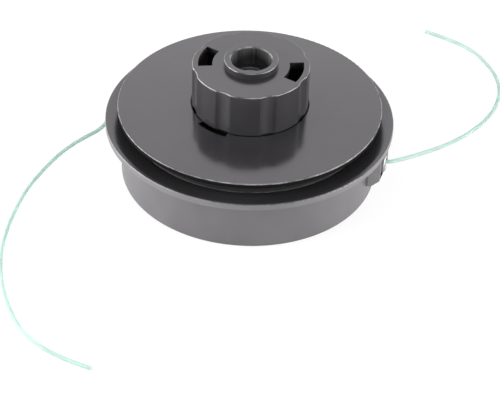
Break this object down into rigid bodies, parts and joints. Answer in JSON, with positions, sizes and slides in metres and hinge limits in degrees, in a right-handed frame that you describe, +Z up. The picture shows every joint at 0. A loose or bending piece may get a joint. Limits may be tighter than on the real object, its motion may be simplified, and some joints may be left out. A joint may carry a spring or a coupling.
{
  "type": "trimmer line spool",
  "caption": "String-trimmer head: a line spool under a cover disc, inside a tap-to-feed cup with opposite eyelets, on a fluted drive hub.",
  "frame": {"origin": "centre of the cup's flat wear floor, on the head's axis", "axes": "+Z up the axis to the drive shaft, X through the two line eyelets"},
  "size_m": [0.1734, 0.2666, 0.0564],
  "materials": {
    "cup_plastic": "moulded black nylon, satin gloss",
    "disc_plastic": "moulded black nylon, fine satin gloss",
    "hub_plastic": "moulded black nylon, satin gloss",
    "spool_plastic": "moulded black nylon, matt",
    "line_nylon": "pale green translucent nylon line",
    "bright_steel": "zinc-plated steel",
    "dark_steel": "oiled dark steel",
    "spring_steel": "drawn spring wire",
    "insert_brass": "turned brass"
  },
  "bodies": {
    "cup": {"cup": "cup_plastic", "cup_bush": "bright_steel", "eyelet_left": "bright_steel", "eyelet_right": "bright_steel", "line_left": "line_nylon", "line_right": "line_nylon", "spring": "spring_steel"},
    "spring_seat": {"thrust_washer": "bright_steel"},
    "drive": {"hub": "hub_plastic", "disc": "disc_plastic", "shaft_nut": "dark_steel", "thread_insert": "insert_brass", "spool": "spool_plastic", "upper_winding": "line_nylon", "lower_winding": "line_nylon", "retaining_washer": "bright_steel", "lock_washer": "bright_steel", "retaining_screw": "bright_steel"}
  },
  "joints": [
    {"name": "tap_travel", "type": "slide", "parent": "cup", "child": "spring_seat", "axis": [0, 0, 1], "range_m": [-0.004, 0], "stiffness_N_per_m": 1500, "springref_m": 0.006, "deforming": ["spring"]},
    {"name": "spool_turn", "type": "hinge", "parent": "spring_seat", "child": "drive", "pos_m": [0, 0, 0.03], "axis": [0, 0, 1], "continuous": true}
  ]
}
